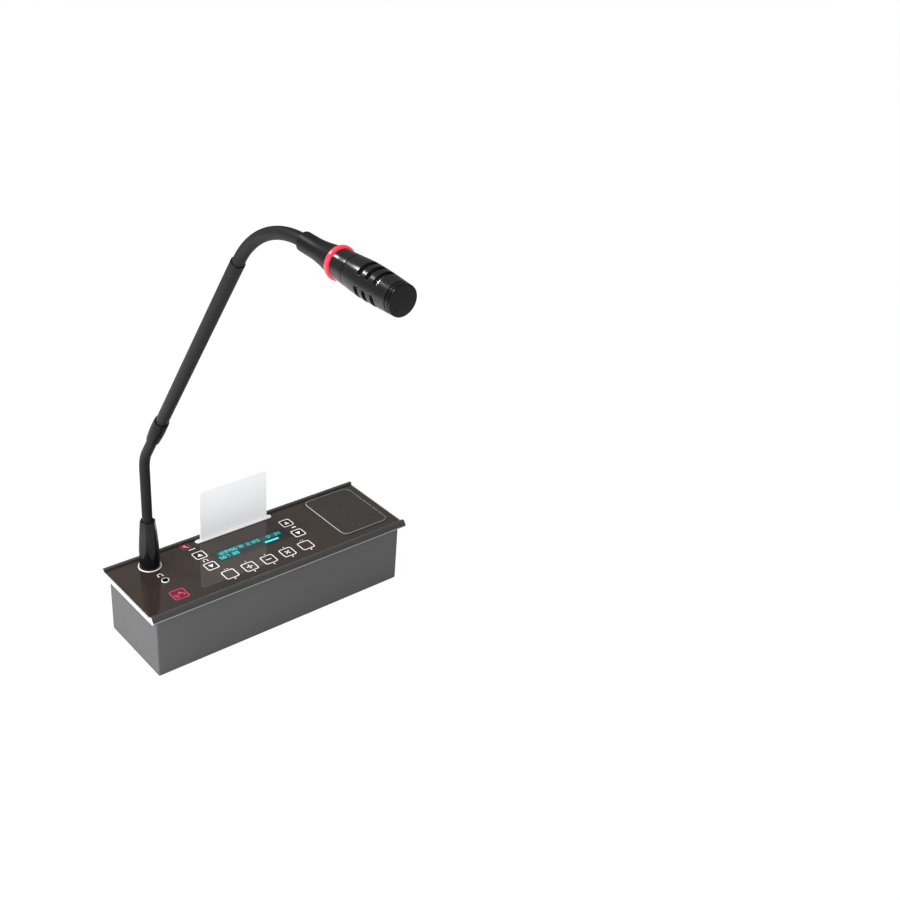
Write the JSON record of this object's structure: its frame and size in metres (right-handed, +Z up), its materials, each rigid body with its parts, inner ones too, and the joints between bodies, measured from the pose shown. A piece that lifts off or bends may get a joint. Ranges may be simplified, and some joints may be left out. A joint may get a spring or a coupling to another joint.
{
  "type": "conference delegate unit",
  "caption": "Flush-mounted conference delegate unit: touch keys, text display, card slot with card, loudspeaker, headphone jack, and a plug-in microphone on bendable goosenecks.",
  "frame": {"origin": "the centre of the box's bottom face", "axes": "+Z up, out of the table top; +X along the unit towards the loudspeaker; -Y towards the speaker who sits at the unit, so the card slot lies at the back"},
  "size_m": [0.203, 0.2614, 0.3378],
  "materials": {
    "grey_paint": "satin grey paint on sheet steel",
    "dark_anodised": "dark satin anodising",
    "brown_glass": "polished, printed dark brown from behind",
    "board_green": "solder mask on fibreglass",
    "display_dark": "smoked display glass",
    "light_guide": "clear white",
    "bright_steel": "plain, lightly brushed",
    "satin_silver": "satin silver",
    "black_plastic": "matt black",
    "white_plastic": "matt white",
    "card_white": "satin white card",
    "gold_plating": "thin gold plating",
    "black_lacquer": "matt black lacquer",
    "black_rubber": "satin black moulding",
    "black_foam": "closed-cell foam",
    "speaker_rubber": "matt black",
    "cone_paper": "coated paper pulp",
    "copper_wire": "enamelled copper wire",
    "ferrite": "dull grey ceramic",
    "brass": "plain brass",
    "red_light": "clear red light guide",
    "gooseneck_black": "matt black sleeve on a steel coil"
  },
  "bodies": {
    "unit": {"chassis_box": "grey_paint", "top_frame": "dark_anodised", "touch_glass": "brown_glass", "touch_board": "board_green", "display_panel": "display_dark", "display_backlight": "light_guide", "display_holder": "bright_steel", "slot_bezel": "satin_silver", "reader_housing": "black_plastic", "reader_contact_block": "white_plastic", "speaker_grille": "black_lacquer", "speaker_gasket": "black_foam", "speaker_basket": "bright_steel", "speaker_surround": "speaker_rubber", "speaker_top_plate": "bright_steel", "speaker_magnet": "ferrite", "speaker_yoke": "bright_steel", "mic_socket_ring": "satin_silver", "mic_socket_shell": "bright_steel", "mic_socket_nut": "bright_steel", "mic_socket_insert": "black_plastic", "jack_bushing": "satin_silver", "jack_body": "black_plastic", "bus_sockets": "bright_steel", "corner_post_1": "bright_steel", "corner_post_2": "bright_steel", "corner_post_3": "bright_steel", "corner_post_4": "bright_steel", "base_screw_1": "bright_steel", "base_screw_2": "bright_steel", "base_screw_3": "bright_steel", "base_screw_4": "bright_steel", "main_board": "board_green"},
    "card": {"id_card": "card_white", "card_chip": "gold_plating"},
    "mic_base": {"plug_shell": "satin_silver", "plug_pins": "gold_plating", "base_boot": "black_rubber", "lower_neck_root": "gooseneck_black"},
    "lower_link_1": {"lower_neck_link_1": "gooseneck_black"},
    "lower_link_2": {"lower_neck_link_2": "gooseneck_black"},
    "lower_link_3": {"lower_neck_link_3": "gooseneck_black"},
    "stem": {"lower_neck_tip": "gooseneck_black", "stem_collar": "black_rubber", "stem_tube": "black_lacquer", "upper_neck_root": "gooseneck_black"},
    "upper_link_1": {"upper_neck_link_1": "gooseneck_black"},
    "upper_link_2": {"upper_neck_link_2": "gooseneck_black"},
    "upper_link_3": {"upper_neck_link_3": "gooseneck_black"},
    "head": {"upper_neck_tip": "gooseneck_black", "head_boot": "black_rubber", "light_ring": "red_light", "head_sleeve": "black_lacquer", "capsule_housing": "black_lacquer", "capsule_mesh": "bright_steel", "capsule": "brass", "front_cap": "black_lacquer"},
    "cone": {"speaker_cone": "cone_paper", "voice_coil": "copper_wire"}
  },
  "joints": [
    {"name": "card_slide", "type": "slide", "parent": "unit", "child": "card", "axis": [0, 0, 1], "range_m": [0, 0.05]},
    {"name": "mic_unplug", "type": "slide", "parent": "unit", "child": "mic_base", "axis": [0, 0, 1], "range_m": [0, 0.022]},
    {"name": "lower_neck_pitch", "type": "hinge", "parent": "mic_base", "child": "lower_link_1", "pos_m": [-0.0733, 0.0207, 0.08985], "axis": [1, 0, 0], "range_deg": [-30, 22.5]},
    {"name": "lower_neck_side", "type": "hinge", "parent": "lower_link_1", "child": "lower_link_2", "pos_m": [-0.0733, 0.0207, 0.10929], "axis": [0, 1, 0], "range_deg": [-22.5, 22.5]},
    {"name": "lower_neck_pitch_2", "type": "hinge", "parent": "lower_link_2", "child": "lower_link_3", "pos_m": [-0.0733, 0.01999, 0.12867], "axis": [1, 0, 0], "range_deg": [-30, 22.5]},
    {"name": "lower_neck_side_2", "type": "hinge", "parent": "lower_link_3", "child": "stem", "pos_m": [-0.0733, 0.01052, 0.1455], "axis": [0, 0.8296, 0.5583], "range_deg": [-22.5, 22.5]},
    {"name": "upper_neck_pitch", "type": "hinge", "parent": "stem", "child": "upper_link_1", "pos_m": [-0.0733, -0.09866, 0.30706], "axis": [1, 0, 0], "range_deg": [-35, 22.5]},
    {"name": "upper_neck_side", "type": "hinge", "parent": "upper_link_1", "child": "upper_link_2", "pos_m": [-0.0733, -0.11175, 0.3189], "axis": [0, 0.5641, 0.8257], "range_deg": [-22.5, 22.5]},
    {"name": "upper_neck_pitch_2", "type": "hinge", "parent": "upper_link_2", "child": "upper_link_3", "pos_m": [-0.0733, -0.12755, 0.3268], "axis": [1, 0, 0], "range_deg": [-35, 22.5]},
    {"name": "upper_neck_side_2", "type": "hinge", "parent": "upper_link_3", "child": "head", "pos_m": [-0.0733, -0.14488, 0.33017], "axis": [0, 0.056, 0.9984], "range_deg": [-22.5, 22.5]},
    {"name": "cone_travel", "type": "slide", "parent": "unit", "child": "cone", "axis": [0, 0, 1], "range_m": [-0.0004, 0.0004], "stiffness_N_per_m": 400}
  ],
  "couplings": [
    {"joint": "lower_neck_pitch_2", "follows": "lower_neck_pitch", "ratio": 1},
    {"joint": "lower_neck_side_2", "follows": "lower_neck_side", "ratio": 1},
    {"joint": "upper_neck_pitch_2", "follows": "upper_neck_pitch", "ratio": 1},
    {"joint": "upper_neck_side_2", "follows": "upper_neck_side", "ratio": 1}
  ]
}
